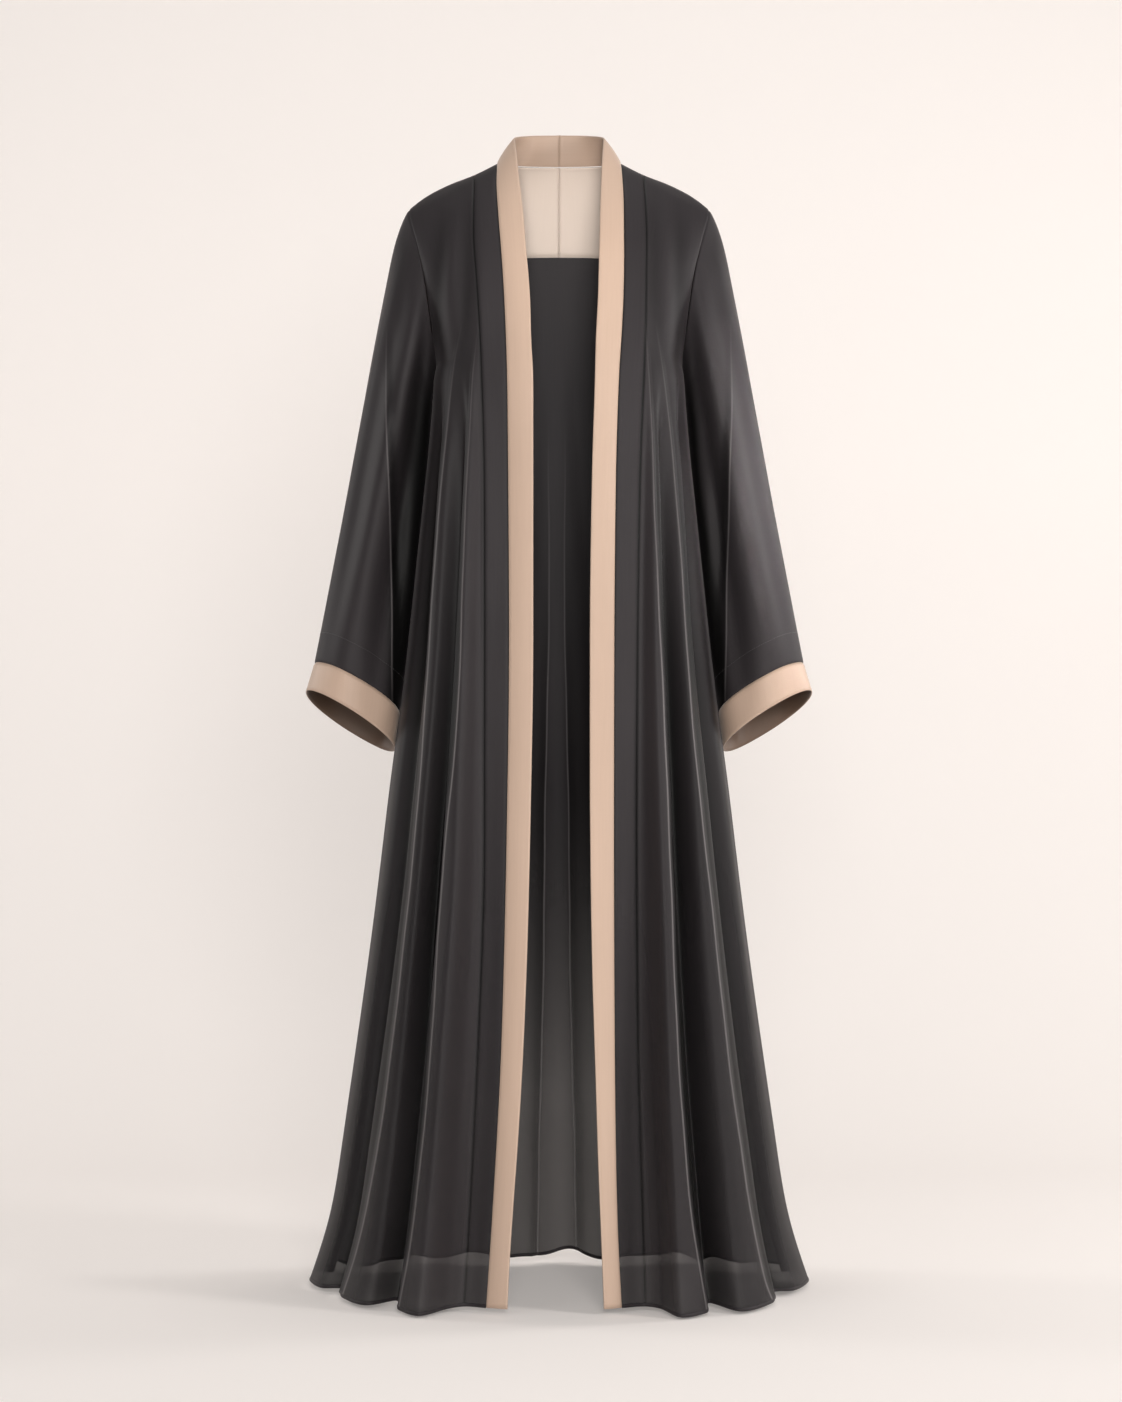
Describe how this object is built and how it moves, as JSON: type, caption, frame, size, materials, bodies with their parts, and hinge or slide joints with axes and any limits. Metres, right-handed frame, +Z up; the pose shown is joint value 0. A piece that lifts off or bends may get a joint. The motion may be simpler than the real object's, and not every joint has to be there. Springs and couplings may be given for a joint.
{
  "type": "abaya cloak",
  "caption": "Full-length open-front cloak of sheer dark cloth with long sleeves, narrow contrast bands down the front edges and neck, and matching cuffs.",
  "frame": {"origin": "midway between the high points of the two shoulders, at their height, where the wearer's shoulders or a hanger hold the cloak", "axes": "+Z up the wearer's body, -Y towards the open front, +X towards the wearer's left"},
  "size_m": [0.6452, 0.4854, 1.4682],
  "materials": {
    "charcoal_georgette": "semi-sheer charcoal georgette, soft matt with a faint sheen",
    "tan_crepe": "tan satin-back crepe, folded double",
    "beige_facing": "beige crepe facing inside the back neck"
  },
  "bodies": {
    "root": {"back": "charcoal_georgette", "front_left": "charcoal_georgette", "front_right": "charcoal_georgette", "strip_left": "charcoal_georgette", "strip_right": "charcoal_georgette", "sleeve_left": "charcoal_georgette", "sleeve_right": "charcoal_georgette", "band_left": "tan_crepe", "band_right": "tan_crepe", "cuff_left": "tan_crepe", "cuff_right": "tan_crepe", "neck_facing_left": "beige_facing", "neck_facing_right": "beige_facing"}
  },
  "joints": []
}
